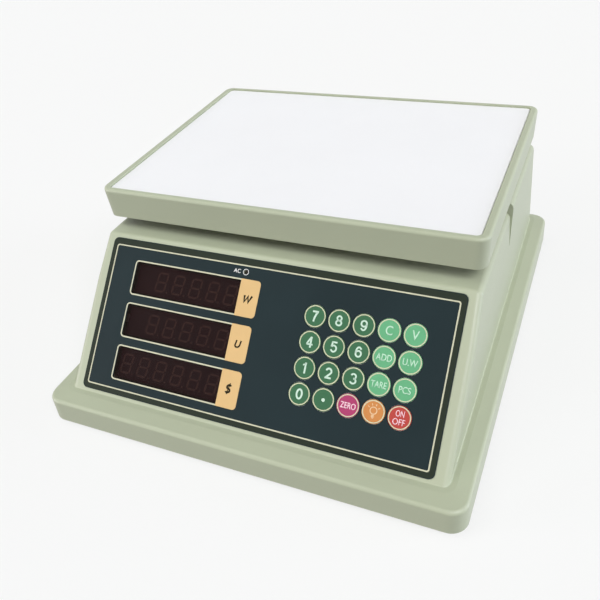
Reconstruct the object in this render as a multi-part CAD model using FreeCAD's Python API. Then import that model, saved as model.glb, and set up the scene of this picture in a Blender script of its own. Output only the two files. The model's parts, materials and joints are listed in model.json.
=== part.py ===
import FreeCAD, Part
import math
import os

# A price-computing counting scale for a shop counter, in millimetres.
# +X is the user's right, +Y the back, +Z up. The origin is under the middle of the base, on the
# surface that the feet stand on.

Vec = FreeCAD.Vector
UP = Vec(0, 0, 1)

# ---- driving dimensions --------------------------------------------------------------------
FOOT_H = 4.0              # the base's lower edge stands this far above the table
BASE_W, BASE_D = 277.4, 308.0
BASE_CORNER_R = 10.5
BASE_EDGE_Z = 20.8        # outer edge of the plinth's top
BASE_EDGE_INSET = 0.4     # draft of the plinth's wall
BASE_EDGE_R = 2.5
BASE_TOP_Z = 22.2         # where the plinth meets the housing
WALL = 2.5                # casing wall
FIT = 0.3                 # gap round a part that drops into a pocket, both sides together
INSIDE, OUTSIDE = 6.0, 2.0        # reach of a cutting tool behind and before a casing wall
ABOVE_ALL = 200.0         # higher than anything on the scale

PANEL_TILT = 46.05        # front panel, from horizontal
PANEL_Y, PANEL_Z = -138.3, 23.8   # lower edge of the keypad overlay, on the panel
DECK_Z = 99.0             # top of the housing's front part
STEP_Y = 19.0             # where the higher rear part begins
REAR_DECK_Z = 106.0
REAR_TILT = 24.1          # rear wall, from vertical
REAR_Y, REAR_Z = 143.4, 27.8      # a point on the rear wall, low down
HOUSE_HALF = 126.0        # half width at the plinth, and of the whole rear part
HOUSE_HALF_DECK = 124.4   # half width of the front part at its top
TAPER_Z = 74.0            # the front part narrows from here up
EDGE_R = 4.0
REAR_EDGE_R = 10.0
FLAT_W = 3.6              # level strip of the plinth round the housing
FLAT_R = 0.8              # hollow where the housing rises from it
PASSAGE_Y0, PASSAGE_Y1, PASSAGE_HALF = 52.0, 98.0, 20.0   # where the load post comes through the deck
COLLAR_T, COLLAR_H = 2.0, 1.5     # raised lip round that passage

PLATFORM_Y = 28.4         # centre of the weighing platform
PLATFORM_W, PLATFORM_D = 250.0, 180.0
PLATFORM_TOP = 128.9
PLATFORM_SKIRT = 20.1
PLATFORM_CORNER_R = 7.0
PLATFORM_DRAFT = 0.7
PLATE_W, PLATE_D = 239.4, 172.4
PLATE_T = 0.8
PLATE_SUNK = 1.2          # below the rim round it
PLATE_GAP = 0.5
PLATFORM_RIM_R = 2.0
PLATE_CORNER_R = 3.0
PLATE_SEAT = PLATFORM_TOP - PLATE_SUNK - PLATE_T

OVERLAY_W, OVERLAY_H, OVERLAY_R = 235.3, 101.6, 3.5
OVERLAY_T = 0.6
OVERLAY_SUNK = 0.3        # depth of the pocket that it is stuck into
DIGIT_W, DIGIT_H = 12.7, 19.0     # one seven-segment digit
GLASS_W, GLASS_H = 6 * DIGIT_W + 0.8, 21.3
GLASS_R = 1.2             # corners of a window
GLASS_X1 = -19.0          # right edge of the front windows
WINDOW_S = (77.3, 49.2, 21.1)     # window centres, up the panel from the overlay's lower edge
FRONT_DIGITS = (5, 5, 6)
FILTER_T = 2.0
FILTER_LAP = 1.0          # the filter reaches this far behind the overlay
FILTER_FIT = 0.1
LED_BACK = 9.8            # display board, behind the panel's face
LED_T = 7.0
BOARD_T = 1.6

KEY_X, KEY_S = 33.0, 74.4         # centre of the first key
KEY_PITCH_X, KEY_PITCH_S = 15.04, 15.39
KEY_R = 6.8
KEY_GAP = 0.3
KEY_TOP, KEY_BOTTOM = 0.42, -0.45
KEYPAD_FLOOR = -1.5       # pocket for the switch circuit
KEYPAD_T = 0.4
KEYPAD_MARGIN, KEYPAD_CORNER_R = 2.5, 2.0
KEYPAD_FIT = 0.5
KEY_EDGE_R = 0.25
DOME_R, DOME_H = 4.5, 0.2
KEY_ROWS = (
    ("7", "8", "9", "clear", "v"),
    ("4", "5", "6", "add", "unit_weight"),
    ("1", "2", "3", "tare", "pieces"),
    ("0", "point", "zero", "light", "on_off"),
)
LAMP_X, LAMP_S, LAMP_R = -17.0, 93.0, 1.5

REAR_OVERLAY_W, REAR_OVERLAY_H = 232.0, 46.0
REAR_MID_Z = 68.0         # height of the rear overlay's centre
REAR_DIGITS = (5, 5, 6)
REAR_WINDOW_GAP = 8.0
REAR_WINDOW_S = -4.0      # window centre line, from the overlay's centre
REAR_WINDOW_MARGIN = 2.0  # glass beyond the digits, both sides together

MAIN_BOARD_W, MAIN_BOARD_H, MAIN_BOARD_S = 212.0, 93.0, 50.5
REAR_BOARD_W, REAR_BOARD_H, REAR_BOARD_S = 232.0, 42.0, -1.0
BOARD_POSTS = [(x, s) for x in (-102.0, 102.0) for s in (9.0, 50.0, 91.0)] + [(-12.0, 35.2), (-12.0, 63.2)]
REAR_POSTS = [(x, s) for x in (-112.0, 112.0) for s in (-18.5, 14.0)]
POST_R, POST_BORE_R = 3.0, 1.2
POST_ROOT = 0.1           # how far a post reaches into the wall that it stands on
POST_BORE_END = WALL + 1.5
TAIL_SLOT = (58.0, 78.0, 12.0, 15.0)      # where the keypad's tail goes through the panel

CELL_L, CELL_W, CELL_H = 130.0, 30.0, 22.0
CELL_Z = 52.0             # underside of the load cell
CELL_EYE_R = 8.0
CELL_BOLTS = (33.0, 53.0)         # bolt distances from the cell's middle
BOLT_R = 3.0
BLOCK_L = 37.0            # pedestal and post, along the cell
CHASSIS_Z, CHASSIS_T = 12.0, 2.0
SUPPORT_Z, SUPPORT_H = 112.0, 8.0
SUPPORT_PAD_X, SUPPORT_PAD_Y = 95.0, 62.0
PAD_R = 6.0
PAD_RING_T, PAD_RING_H = 3.0, 3.0         # ring under the cover round each pad
PAD_STEM_R = 3.0
SUPPORT_ARM_W, SUPPORT_END_R = 14.0, 10.0
SUPPORT_HUB_W, SUPPORT_HUB_L, SUPPORT_HUB_Y = 50.0, 88.0, 22.0
SUPPORT_WEB_W, SUPPORT_WEB_H = 8.0, 5.0
CELL_EYE_Y, CELL_SLOT_H = 12.0, 4.0
BOLT_HEAD_R, BOLT_HEAD_H = 5.0, 3.5
BOLT_GRIP = 16.0          # thread length inside the load cell
BOLT_FIT = 0.2
STOP_GAP = 1.0            # free travel above the overload stop
STOP_Y, STOP_R = PLATFORM_Y + 58.0, 4.0
STOP_TAIL = 3.0           # below the chassis plate
NUT_R, NUT_H = 7.5, 6.5
CHASSIS_X, CHASSIS_Y0, CHASSIS_Y1 = 34.0, -45.0, 100.0
CHASSIS_SCREWS = [(x, y) for x in (-28.0, 28.0) for y in (-38.0, 93.0)]

FOOT_X, FOOT_Y = 112.0, 128.0
SOLE_R, SOLE_H = 11.0, 4.8
SOLE_EDGE_R = 0.8
SOLE_DISH_R, SOLE_DISH = 5.0, 0.6         # shallow recess under the sole
STUD_HEAD_R, STUD_HEAD_Z = 8.0, 2.0
STUD_R, STUD_TOP = 4.0, 18.0
FEET = {
    "front_left": (-FOOT_X, -FOOT_Y),
    "front_right": (FOOT_X, -FOOT_Y),
    "rear_left": (-FOOT_X, FOOT_Y),
    "rear_right": (FOOT_X, FOOT_Y),
}
RUN_FIT = 0.05            # radial clearance of a turning fit
FLOOR_Z = 5.0             # underside of the lower case
FLOOR_TOP = FLOOR_Z + WALL
TRAY_TOP = 16.0           # rim of the lower case, inside the plinth
TRAY_WALL = 2.0
FOOT_BOSS_R, CHASSIS_BOSS_R, POWER_BOSS_R, CASE_BOSS_R = 8.0, 5.0, 4.0, 5.5
CASE_SOCKET_R = 4.0       # the upper case's half of a case screw's boss
VENT_COUNT, VENT_PITCH, VENT_Y = 8, 7.0, 52.0
VENT_L, VENT_W = 30.0, 3.0

BATTERY_X, BATTERY_Y = -73.0, 30.5
BATTERY_W, BATTERY_D, BATTERY_H = 70.0, 101.0, 47.0
BATTERY_SLACK = 2.0       # its bay is this much larger, both sides together
BATTERY_FENCE_T, BATTERY_FENCE_Z = 2.0, 28.0
COVER_LEDGE = 2.0
COVER_T = 1.5
COVER_FIT = 0.6
COVER_GRIP = (30.0, 8.0, 36.0)    # finger dent: width, depth, distance before the middle
TAB_W, TAB_T, TAB_L = 4.8, 0.8, 6.0
TAB_X, TAB_Z = 24.0, 36.0

INLET_Y, INLET_Z = 96.0, 46.0
INLET_W, INLET_H, INLET_DEEP = 22.0, 14.0, 18.0
INLET_FIT = 0.1
FLANGE_T, FLANGE_LAP, FLANGE_R = 1.5, 2.5, 3.0
CAVITY_W, CAVITY_H, CAVITY_DEEP = 15.5, 8.5, 13.0
PIN_PITCH, PIN_R, PIN_L = 8.6, 1.2, 11.0

POWER_X, POWER_Y, POWER_W, POWER_D, POWER_Z = 80.0, 5.0, 60.0, 44.0, 14.0
POWER_SCREWS = [(POWER_X + i * 26.0, POWER_Y + j * 18.0) for i in (-1, 1) for j in (-1, 1)]
TRANSFORMER_X, TRANSFORMER_Y = 84.0, 78.0
CORE_W, CORE_T, CORE_H = 48.0, 20.0, 40.0
LIMB = 8.0                # outer limb and yoke of the core; the middle limb is twice as wide
COIL_OUT = 8.0            # how far the winding stands out of the core
COIL_FIT = 0.2

SCREW_X = 128.5
SCREW_YS = (-100.0, 0.0, 100.0)
SCREW_SEAT_Z = FLOOR_TOP + 1.5    # the case screws' heads are sunk up to here
SCREW_BOSS_Z = FLOOR_TOP + 3.5    # where the two halves of a case screw's boss meet
SCREW_HEAD_R, SCREW_HEAD_H, SCREW_L = 3.4, 2.2, 8.0
SMALL_HEAD_R, SMALL_HEAD_H, SMALL_SHANK_R = 2.6, 1.8, 1.15
PLATE_HEAD_R, PLATE_HEAD_H = 3.2, 2.0
RECESS_L, RECESS_W, RECESS_DEEP = 3.6, 0.7, 1.1     # cross recess in a screw's head
PILOT_R = 1.75
SHANK_R = 1.7

# Chips and sockets behind the main board: (x, s, width, height); capacitors: (x, y, radius, height).
CHIPS = ((-70, 62, 52, 14), (-70, 34, 36, 8), (-30, 34, 20, 8), (20, 62, 36, 8), (60, 34, 20, 8))
SOCKETS = ((60, 12, 26, 6), (-60, 12, 18, 6), (0, 86, 14, 6))
CHIP_T, SOCKET_T = 4.0, 8.0
BUZZER = (90.0, 70.0, 6.0, 9.0)   # x, s, radius, height
CAPACITORS = ((66, -2, 8, 20), (88, -4, 5, 12), (101, 14, 4, 10))
HEATSINK = (62.0, 84.0, 14.0, 17.0, 22.0)     # x0, x1, y0, y1, height

# Leads: (points, radius), from end to end.
CABLES = (
    (((0, -37, 63), (0, -60, 60), (-20, -80, 50), (-50, -92, 40)), 2.0),
    (((-40, -30, 42), (-20, -60, 30), (20, -45, 22), (60, -22, 17)), 1.5),
    (((-106, 96, 46), (-70, 104, 30), (0, 112, 22), (50, 102, 22), (84, 99, 28)), 2.0),
    (((84, 57.5, 28), (82, 45, 26), (80, 30, 20), (80, 22, 17)), 1.5),
    (((40, 108, 60), (48, 60, 66), (50, 0, 70), (44, -50, 66), (30, -72, 60)), 2.0),
)


# ---- helpers -------------------------------------------------------------------------------
def box(x0, x1, y0, y1, z0, z1):
    return Part.makeBox(x1 - x0, y1 - y0, z1 - z0, Vec(x0, y0, z0))


def post(x, y, z0, z1, r):
    return Part.makeCylinder(r, z1 - z0, Vec(x, y, z0), UP)


def rounded_rectangle(w, d, r, cx=0.0, cy=0.0, z=0.0):
    """A closed wire, flat at height z, with arcs of radius r at its corners."""
    a, b = w / 2, d / 2
    k = r * (1 - math.sqrt(0.5))
    corners = (
        (Vec(a, b - r, 0), Vec(a - k, b - k, 0), Vec(a - r, b, 0)),
        (Vec(r - a, b, 0), Vec(k - a, b - k, 0), Vec(-a, b - r, 0)),
        (Vec(-a, r - b, 0), Vec(k - a, k - b, 0), Vec(r - a, -b, 0)),
        (Vec(a - r, -b, 0), Vec(a - k, k - b, 0), Vec(a, r - b, 0)),
    )
    edges = []
    for i, (start, middle, end) in enumerate(corners):
        edges.append(Part.Arc(start, middle, end).toShape())
        edges.append(Part.LineSegment(end, corners[(i + 1) % 4][0]).toShape())
    wire = Part.Wire(edges)
    wire.translate(Vec(cx, cy, z))
    return wire


def slab(w, d, r, z0, z1, cx=0.0, cy=0.0):
    face = Part.Face(rounded_rectangle(w, d, r, cx, cy, z0))
    return face.extrude(Vec(0, 0, z1 - z0))


def loft(wires):
    return Part.makeLoft(wires, True, True)


def fuse(shapes):
    return shapes[0].multiFuse(shapes[1:]).removeSplitter()


def cut(shape, tools):
    return shape.cut(tools)


def rounded_profile(points, x0, x1):
    """Extrudes along X an outline of (y, z, corner radius) points."""
    count = len(points)
    ends = []
    for i, (y, z, r) in enumerate(points):
        here = Vec(0, y, z)
        before = Vec(0, *points[i - 1][:2]) - here
        after = Vec(0, *points[(i + 1) % count][:2]) - here
        if r == 0:
            ends.append((here, None, here))
            continue
        before.normalize()
        after.normalize()
        half = before.getAngle(after) / 2
        along = r / math.tan(half)
        bisector = before + after
        bisector.normalize()
        middle = here + bisector * (r / math.sin(half) - r)
        ends.append((here + before * along, middle, here + after * along))
    edges = []
    for i, (start, middle, end) in enumerate(ends):
        if middle is not None:
            edges.append(Part.Arc(start, middle, end).toShape())
        edges.append(Part.LineSegment(end, ends[(i + 1) % count][0]).toShape())
    face = Part.Face(Part.Wire(edges))
    face.translate(Vec(x0, 0, 0))
    return face.extrude(Vec(x1 - x0, 0, 0))


def placed(shape, placement):
    moved = shape.copy()
    moved.Placement = placement.multiply(moved.Placement)
    return moved


def on_panel(shape):
    """From the panel's own axes (x, s up the slope, n outwards) to the scale's."""
    turn = FreeCAD.Rotation(Vec(1, 0, 0), PANEL_TILT)
    return placed(shape, FreeCAD.Placement(Vec(0, PANEL_Y, PANEL_Z), turn))


def on_rear(shape):
    """From the rear wall's own axes (u to the right as seen from behind, s up, n outwards)."""
    tilt = FreeCAD.Rotation(Vec(1, 0, 0), 90 - REAR_TILT)
    turn = FreeCAD.Rotation(UP, 180).multiply(tilt)
    return placed(shape, FreeCAD.Placement(Vec(0, rear_wall_y(REAR_MID_Z), REAR_MID_Z), turn))


def export(name, shapes):
    solids = shapes if isinstance(shapes, list) else [shapes]
    whole = solids[0] if len(solids) == 1 else Part.makeCompound(solids)
    whole.exportStep(os.path.join("parts", name + ".step"))


# ---- casing --------------------------------------------------------------------------------
def panel_y(z, inset=0.0):
    angle = math.radians(PANEL_TILT)
    return PANEL_Y + (z - PANEL_Z) / math.tan(angle) + inset / math.sin(angle)


def rear_wall_y(z, inset=0.0):
    angle = math.radians(REAR_TILT)
    return REAR_Y - (z - REAR_Z) * math.tan(angle) - inset / math.cos(angle)


def housing(inset, foot_z):
    """The housing's solid envelope, drawn in by inset on every side."""
    deck, rear_deck, step = DECK_Z - inset, REAR_DECK_Z - inset, STEP_Y + inset
    outline = (
        (panel_y(foot_z, inset), foot_z, 0),
        (panel_y(deck, inset), deck, max(EDGE_R - inset, 0)),
        (step, deck, 0),
        (step, rear_deck, 0),
        (rear_wall_y(rear_deck, inset), rear_deck, REAR_EDGE_R - inset),
        (rear_wall_y(foot_z, inset), foot_z, 0),
    )
    body = rounded_profile(outline, -BASE_W / 2, BASE_W / 2)
    low, high = HOUSE_HALF - inset, HOUSE_HALF_DECK - inset
    corners = [Vec(-low, 0, foot_z), Vec(low, 0, foot_z), Vec(low, 0, TAPER_Z), Vec(high, 0, DECK_Z)]
    corners += [Vec(-high, 0, DECK_Z), Vec(-low, 0, TAPER_Z), Vec(-low, 0, foot_z)]
    side = Part.Face(Part.makePolygon(corners))
    side.translate(Vec(0, -BASE_D / 2, 0))
    front = side.extrude(Vec(0, BASE_D / 2 + step, 0))
    rear = box(-low, low, step, BASE_D, foot_z, REAR_DECK_Z)
    return fuse([body.common(front), body.common(rear)])


def side_edges(shape):
    """Edges between a housing's side wall and its panel, deck or rear wall."""
    found = []
    for edge in shape.Edges:
        a, b = edge.Vertexes[0].Point, edge.Vertexes[-1].Point
        on_side = min(abs(a.x), abs(b.x)) > HOUSE_HALF_DECK - 0.5 and a.x * b.x > 0
        along = abs(a.y - b.y) > 1 and abs(a.y - b.y) > 0.3 * abs(a.z - b.z)
        crease = max(abs(a.z - TAPER_Z), abs(b.z - TAPER_Z)) < 0.1
        if on_side and along and not crease and max(a.z, b.z) > BASE_TOP_Z + 1:
            found.append(edge)
    return found


def plinth():
    foot = rounded_rectangle(BASE_W, BASE_D, BASE_CORNER_R, z=FOOT_H)
    edge_w, edge_d = BASE_W - 2 * BASE_EDGE_INSET, BASE_D - 2 * BASE_EDGE_INSET
    edge = rounded_rectangle(edge_w, edge_d, BASE_CORNER_R, z=BASE_EDGE_Z)
    front, back = panel_y(BASE_TOP_Z), rear_wall_y(BASE_TOP_Z)
    top_w, top_d = 2 * (HOUSE_HALF + FLAT_W), back - front + 2 * FLAT_W
    top = rounded_rectangle(top_w, top_d, EDGE_R + FLAT_W, cy=(front + back) / 2, z=BASE_TOP_Z)
    body = fuse([loft([foot, edge]), loft([edge, top])])
    rim = [e for e in body.Edges if abs(e.CenterOfMass.z - BASE_EDGE_Z) < 0.01]
    return body.makeFillet(BASE_EDGE_R, rim)


def window_openings(lap, n0, n1):
    """Slabs for the operator's windows, lapping behind the panel's sheet by lap."""
    w, h = GLASS_W + 2 * lap, GLASS_H + 2 * lap
    cx = GLASS_X1 - GLASS_W / 2
    return [slab(w, h, GLASS_R, n0, n1, cx, s) for s in WINDOW_S]


def key_places():
    for row, names in enumerate(KEY_ROWS):
        for column, name in enumerate(names):
            yield name, KEY_X + column * KEY_PITCH_X, KEY_S - row * KEY_PITCH_S


def keypad_slab(grow, n0, n1):
    """A slab a little larger than the block of keys."""
    margin = KEY_R + KEYPAD_MARGIN + grow
    w = 4 * KEY_PITCH_X + 2 * margin
    h = 3 * KEY_PITCH_S + 2 * margin
    return slab(w, h, KEYPAD_CORNER_R, n0, n1, KEY_X + 2 * KEY_PITCH_X, KEY_S - 1.5 * KEY_PITCH_S)


def rear_windows(lap, n0, n1):
    """Slabs for the customer's windows, side by side across the rear wall."""
    widths = [n * DIGIT_W + REAR_WINDOW_MARGIN for n in REAR_DIGITS]
    left = -(sum(widths) + REAR_WINDOW_GAP * (len(widths) - 1)) / 2
    slabs = []
    for w in widths:
        cx = left + w / 2
        slabs.append(slab(w + 2 * lap, GLASS_H + 2 * lap, GLASS_R, n0, n1, cx, REAR_WINDOW_S))
        left += w + REAR_WINDOW_GAP
    return slabs


def foot_line(shape):
    """Edges where the housing rises from the plinth."""
    front, back = panel_y(BASE_TOP_Z) - 0.01, rear_wall_y(BASE_TOP_Z) + 0.01
    found = []
    for edge in shape.Edges:
        level = all(abs(v.Point.z - BASE_TOP_Z) < 0.01 for v in edge.Vertexes)
        middle = edge.CenterOfMass
        if level and abs(middle.x) < HOUSE_HALF + 0.01 and front < middle.y < back:
            found.append(edge)
    return found


def case_screw_places():
    return [(x, y) for x in (-SCREW_X, SCREW_X) for y in SCREW_YS]


def passage(grow, z0, z1):
    """A slab filling the load post's way through the rear deck, and grow more on every side."""
    w, d = 2 * (PASSAGE_HALF + grow), PASSAGE_Y1 - PASSAGE_Y0 + 2 * grow
    return slab(w, d, 4 + grow, z0, z1, 0, (PASSAGE_Y0 + PASSAGE_Y1) / 2)


def board_post_solids(n0, n1, r):
    """Cylinders along the board posts' axes, on the panel and on the rear wall."""
    front = [on_panel(post(x, s, n0, n1, r)) for x, s in BOARD_POSTS]
    return front + [on_rear(post(x, s, n0, n1, r)) for x, s in REAR_POSTS]


def panel_holes():
    """Everything cut through or into the front panel."""
    pocket = slab(OVERLAY_W + FIT, OVERLAY_H + FIT, OVERLAY_R, -OVERLAY_SUNK, OUTSIDE, 0, OVERLAY_H / 2)
    x0, x1, s0, s1 = TAIL_SLOT
    holes = window_openings(FILTER_LAP + FILTER_FIT, -INSIDE, OUTSIDE)
    holes += [pocket, keypad_slab(KEYPAD_FIT, KEYPAD_FLOOR, OUTSIDE), box(x0, x1, s0, s1, -INSIDE, OUTSIDE)]
    holes.append(post(LAMP_X, LAMP_S, -INSIDE, OUTSIDE, LAMP_R + RUN_FIT))
    return [on_panel(h) for h in holes]


def rear_holes():
    """Everything cut through or into the rear wall."""
    pocket = slab(REAR_OVERLAY_W + FIT, REAR_OVERLAY_H + FIT, OVERLAY_R, -OVERLAY_SUNK, OUTSIDE)
    holes = rear_windows(FILTER_LAP + FILTER_FIT, -INSIDE, OUTSIDE)
    return [on_rear(h) for h in holes + [pocket]]


def inlet_hole():
    half_w, half_h = INLET_W / 2, INLET_H / 2
    return box(-HOUSE_HALF - OUTSIDE, -HOUSE_HALF + INSIDE,
               INLET_Y - half_w, INLET_Y + half_w, INLET_Z - half_h, INLET_Z + half_h)


def upper_case():
    roof = BASE_EDGE_Z - WALL         # underside of the plinth's top, near its edge
    shell = housing(0, roof)
    shell = shell.makeFillet(EDGE_R, side_edges(shell))
    shell = fuse([plinth(), shell])
    shell = shell.makeFillet(FLAT_R, foot_line(shell))
    hollow = slab(BASE_W - 2 * WALL, BASE_D - 2 * WALL, BASE_CORNER_R - WALL, 0, roof)
    shell = cut(shell, [hollow, housing(WALL, roof - 1)])
    bosses = board_post_solids(-LED_BACK, POST_ROOT - WALL, POST_R)
    bosses += [post(x, y, SCREW_BOSS_Z, roof + POST_ROOT, CASE_SOCKET_R) for x, y in case_screw_places()]
    bosses.append(passage(COLLAR_T, REAR_DECK_Z - 1, REAR_DECK_Z + COLLAR_H))
    shell = fuse([shell] + bosses)
    holes = panel_holes() + rear_holes() + [inlet_hole()]
    holes.append(passage(0, REAR_DECK_Z - INSIDE, REAR_DECK_Z + OUTSIDE))
    holes += board_post_solids(-LED_BACK - 1, -POST_BORE_END, POST_BORE_R)
    holes += [post(x, y, FLOOR_TOP, roof - 0.5, PILOT_R) for x, y in case_screw_places()]
    return cut(shell, holes)


def battery_opening(grow, z0, z1):
    return slab(BATTERY_W + grow, BATTERY_D + grow, 2, z0, z1, BATTERY_X, BATTERY_Y)


def lower_case():
    w, d = BASE_W - 2 * (WALL + FIT), BASE_D - 2 * (WALL + FIT)
    r = BASE_CORNER_R - WALL - FIT
    tray = slab(w, d, r, FLOOR_Z, TRAY_TOP)
    inside = slab(w - 2 * TRAY_WALL, d - 2 * TRAY_WALL, r - TRAY_WALL, FLOOR_TOP, TRAY_TOP + 1)
    tray = cut(tray, [inside])
    root = FLOOR_Z + 0.5
    bosses = [post(x, y, root, TRAY_TOP, FOOT_BOSS_R) for x, y in FEET.values()]
    bosses += [post(x, y, root, CHASSIS_Z, CHASSIS_BOSS_R) for x, y in CHASSIS_SCREWS]
    bosses += [post(x, y, root, POWER_Z, POWER_BOSS_R) for x, y in POWER_SCREWS]
    bosses += [post(x, y, root, SCREW_BOSS_Z, CASE_BOSS_R) for x, y in case_screw_places()]
    tray = fuse([tray] + bosses + battery_fences())
    bore = STUD_R + RUN_FIT
    holes = [post(x, y, 0, TRAY_TOP + 1, bore) for x, y in FEET.values()]
    holes += [post(x, y, FLOOR_TOP, CHASSIS_Z + 1, PILOT_R) for x, y in CHASSIS_SCREWS]
    holes += [post(x, y, FLOOR_TOP, POWER_Z + 1, PILOT_R) for x, y in POWER_SCREWS]
    for x, y in case_screw_places():
        holes.append(post(x, y, 0, SCREW_SEAT_Z, SCREW_HEAD_R + 0.6))
        holes.append(post(x, y, 0, TRAY_TOP, PILOT_R + 0.1))
    holes.append(battery_opening(BATTERY_SLACK, 0, FLOOR_TOP + 1))
    holes.append(battery_opening(BATTERY_SLACK + 2 * COVER_LEDGE, 0, FLOOR_Z + COVER_T))
    for i in range(VENT_COUNT):
        y = VENT_Y + i * VENT_PITCH
        holes.append(slab(VENT_L, VENT_W, 0.45 * VENT_W, 0, FLOOR_TOP + 1, TRANSFORMER_X, y))
    return cut(tray, holes)


def battery_fences():
    """A low wall on each side of the battery."""
    half_d = BATTERY_D / 2 + COVER_LEDGE + 1
    half_t = BATTERY_FENCE_T / 2
    fences = []
    for side in (-1, 1):
        x = BATTERY_X + side * (BATTERY_W / 2 + COVER_LEDGE)
        fences.append(box(x - half_t, x + half_t, BATTERY_Y - half_d, BATTERY_Y + half_d,
                          FLOOR_Z + 1, BATTERY_FENCE_Z))
    return fences


def battery_cover():
    plate = battery_opening(BATTERY_SLACK + 2 * COVER_LEDGE - COVER_FIT, FLOOR_Z, FLOOR_Z + COVER_T)
    w, d, before = COVER_GRIP
    grip = slab(w, d, 0.4 * d, FLOOR_Z - 1, FLOOR_Z + COVER_T / 2, BATTERY_X, BATTERY_Y - before)
    return cut(plate, [grip])


# ---- platform and load path ------------------------------------------------------------------
def platform_cover():
    bottom = PLATFORM_TOP - PLATFORM_SKIRT
    low_w, low_d = PLATFORM_W - 2 * PLATFORM_DRAFT, PLATFORM_D - 2 * PLATFORM_DRAFT
    low = rounded_rectangle(low_w, low_d, PLATFORM_CORNER_R, 0, PLATFORM_Y, bottom)
    high = rounded_rectangle(PLATFORM_W, PLATFORM_D, PLATFORM_CORNER_R, 0, PLATFORM_Y, PLATFORM_TOP)
    body = loft([low, high])
    rim = [e for e in body.Edges if abs(e.CenterOfMass.z - PLATFORM_TOP) < 0.01]
    body = body.makeFillet(PLATFORM_RIM_R, rim)
    pocket_w, pocket_d = PLATE_W + 2 * PLATE_GAP, PLATE_D + 2 * PLATE_GAP
    pocket_r = PLATE_CORNER_R + PLATE_GAP
    pocket = slab(pocket_w, pocket_d, pocket_r, PLATE_SEAT, PLATFORM_TOP + 1, 0, PLATFORM_Y)
    skin = PLATE_SEAT - WALL
    hollow = slab(low_w - 2 * WALL, low_d - 2 * WALL, PLATFORM_CORNER_R - WALL, 0, skin, 0, PLATFORM_Y)
    body = cut(body, [pocket, hollow])
    rings = []
    for x, y in support_pad_places():
        ring = post(x, y, skin - PAD_RING_H, skin + 0.5, PAD_R + PAD_RING_T)
        rings.append(cut(ring, [post(x, y, 0, skin, PAD_R + 0.5)]))
    return fuse([body] + rings)


def weighing_plate():
    return slab(PLATE_W, PLATE_D, PLATE_CORNER_R, PLATE_SEAT, PLATE_SEAT + PLATE_T, 0, PLATFORM_Y)


def support_pad_places():
    for x in (-SUPPORT_PAD_X, SUPPORT_PAD_X):
        for y in (-SUPPORT_PAD_Y, SUPPORT_PAD_Y):
            yield x, PLATFORM_Y + y


def bolt_places(end):
    """Bolts at the front (-1) or rear (+1) end of the load cell."""
    return [(0, PLATFORM_Y + end * y) for y in CELL_BOLTS]


def pan_support():
    """A plate with four arms, bolted on top of the load post."""
    z0, z1 = SUPPORT_Z, SUPPORT_Z + SUPPORT_H
    pieces = [slab(SUPPORT_HUB_W, SUPPORT_HUB_L, 8, z0, z1, 0, PLATFORM_Y + SUPPORT_HUB_Y)]
    reach = math.hypot(SUPPORT_PAD_X, SUPPORT_PAD_Y)
    for x, y in support_pad_places():
        angle = math.degrees(math.atan2(y - PLATFORM_Y, x))
        arm = box(0, reach, -SUPPORT_ARM_W / 2, SUPPORT_ARM_W / 2, z0, z1)
        turn = FreeCAD.Rotation(UP, angle)
        pieces.append(placed(arm, FreeCAD.Placement(Vec(0, PLATFORM_Y, 0), turn)))
        pieces.append(post(x, y, z0, z1, SUPPORT_END_R))
    half = SUPPORT_WEB_W / 2
    pieces.append(box(-SUPPORT_PAD_X, SUPPORT_PAD_X, PLATFORM_Y - half, PLATFORM_Y + half,
                      z0, z0 + SUPPORT_WEB_H))
    holes = [post(x, y, 0, ABOVE_ALL, PAD_STEM_R) for x, y in support_pad_places()]
    holes += [post(x, y, 0, ABOVE_ALL, BOLT_R + BOLT_FIT) for x, y in bolt_places(1)]
    return cut(fuse(pieces), holes)


def support_pads():
    top = PLATE_SEAT - WALL
    pads = []
    for x, y in support_pad_places():
        head = post(x, y, SUPPORT_Z + SUPPORT_H, top, PAD_R)
        pads.append(fuse([head, post(x, y, SUPPORT_Z + 1, top - 1, PAD_STEM_R)]))
    return pads


def cell_block(end, z0, z1):
    """A solid spacer on one end of the load cell, drilled for its two bolts."""
    far = PLATFORM_Y + end * CELL_L / 2
    near = far - end * BLOCK_L
    block = box(-CELL_W / 2, CELL_W / 2, min(far, near), max(far, near), z0, z1)
    return cut(block, [post(x, y, 0, ABOVE_ALL, BOLT_R + BOLT_FIT) for x, y in bolt_places(end)])


def cell_pedestal():
    return cell_block(-1, CHASSIS_Z + CHASSIS_T, CELL_Z)


def receiver_post():
    return cell_block(1, CELL_Z + CELL_H, SUPPORT_Z)


def load_cell():
    y0, y1 = PLATFORM_Y - CELL_L / 2, PLATFORM_Y + CELL_L / 2
    block = box(-CELL_W / 2, CELL_W / 2, y0, y1, CELL_Z, CELL_Z + CELL_H)
    middle = CELL_Z + CELL_H / 2
    front, back = PLATFORM_Y - CELL_EYE_Y, PLATFORM_Y + CELL_EYE_Y
    holes = []
    for y in (front, back):
        holes.append(Part.makeCylinder(CELL_EYE_R, 2 * CELL_W, Vec(-CELL_W, y, middle), Vec(1, 0, 0)))
    half = CELL_SLOT_H / 2
    holes.append(box(-CELL_W, CELL_W, front, back, middle - half, middle + half))
    holes += [post(x, y, 0, ABOVE_ALL, BOLT_R) for x, y in bolt_places(-1) + bolt_places(1)]
    return cut(block, holes)


def bolt(x, y, z_head, z_tip):
    """A cap-head bolt whose head bears at z_head, pointing towards z_tip."""
    outward = BOLT_HEAD_H if z_tip < z_head else -BOLT_HEAD_H
    z_end = z_head + outward
    head = post(x, y, min(z_head, z_end), max(z_head, z_end), BOLT_HEAD_R)
    shank = post(x, y, min(z_head, z_tip), max(z_head, z_tip), BOLT_R)
    return fuse([head, shank])


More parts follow.
